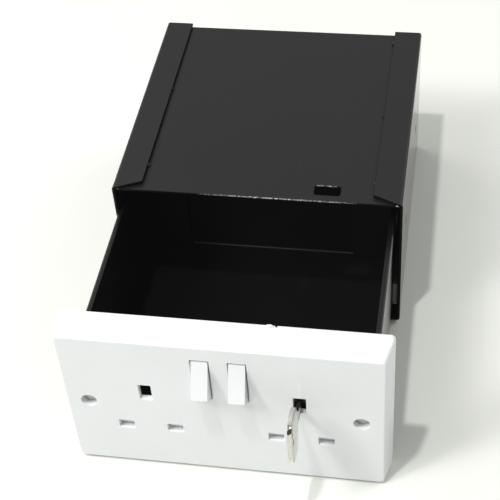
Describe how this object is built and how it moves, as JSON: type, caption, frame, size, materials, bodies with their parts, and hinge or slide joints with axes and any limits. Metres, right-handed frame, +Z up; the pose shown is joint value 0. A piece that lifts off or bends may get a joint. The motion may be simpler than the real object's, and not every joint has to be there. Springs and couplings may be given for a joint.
{
  "type": "outlet diversion safe",
  "caption": "Black sheet steel drawer safe for a wall recess, hidden behind a white imitation twin socket plate with rockers and a keyed cam lock.",
  "frame": {"origin": "middle of the underside of the housing", "axes": "+Y into the wall, away from the faceplate; +Z up; +X to the right as seen from the front"},
  "size_m": [0.146, 0.2545, 0.0863],
  "materials": {
    "coated_steel": "satin black coating on folded steel sheet",
    "white_plastic": "semi-gloss moulded white",
    "zinc_steel": "dull zinc plate",
    "nickel": "worn nickel plate",
    "nylon": "dull dark grey"
  },
  "bodies": {
    "housing": {"housing_wrap": "coated_steel", "housing_top": "coated_steel", "guide_pad": "nylon"},
    "drawer": {"drawer_tray": "coated_steel", "faceplate": "white_plastic", "rocker_frame": "white_plastic", "socket_blank_left": "white_plastic", "socket_blank_right": "white_plastic", "rocker_pin_left": "zinc_steel", "rocker_pin_right": "zinc_steel", "faceplate_screw_left": "zinc_steel", "faceplate_screw_right": "zinc_steel", "faceplate_nut_left": "zinc_steel", "faceplate_nut_right": "zinc_steel", "lock_body": "zinc_steel", "lock_nut": "zinc_steel"},
    "rocker_l": {"rocker_left": "white_plastic"},
    "rocker_r": {"rocker_right": "white_plastic"},
    "lock_rotor": {"lock_plug": "nickel", "cam_washer": "zinc_steel", "lock_cam": "zinc_steel", "cam_screw": "zinc_steel"},
    "key_body": {"key": "nickel"}
  },
  "joints": [
    {"name": "drawer_slide", "type": "slide", "parent": "housing", "child": "drawer", "axis": [0, -1, 0], "range_m": [-0.0829, 0.03]},
    {"name": "rocker_left_tip", "type": "hinge", "parent": "drawer", "child": "rocker_l", "pos_m": [-0.0088, -0.16035, 0.0625], "axis": [1, 0, 0], "range_deg": [0, 25]},
    {"name": "rocker_right_tip", "type": "hinge", "parent": "drawer", "child": "rocker_r", "pos_m": [0.0072, -0.16035, 0.0625], "axis": [1, 0, 0], "range_deg": [0, 25]},
    {"name": "lock_turn", "type": "hinge", "parent": "drawer", "child": "lock_rotor", "pos_m": [0.0332, -0.15065, 0.0486], "axis": [0, 1, 0], "range_deg": [0, 90]},
    {"name": "key_pull", "type": "slide", "parent": "lock_rotor", "child": "key_body", "axis": [-0.0436, -0.999, 0], "range_m": [0, 0.03]}
  ]
}
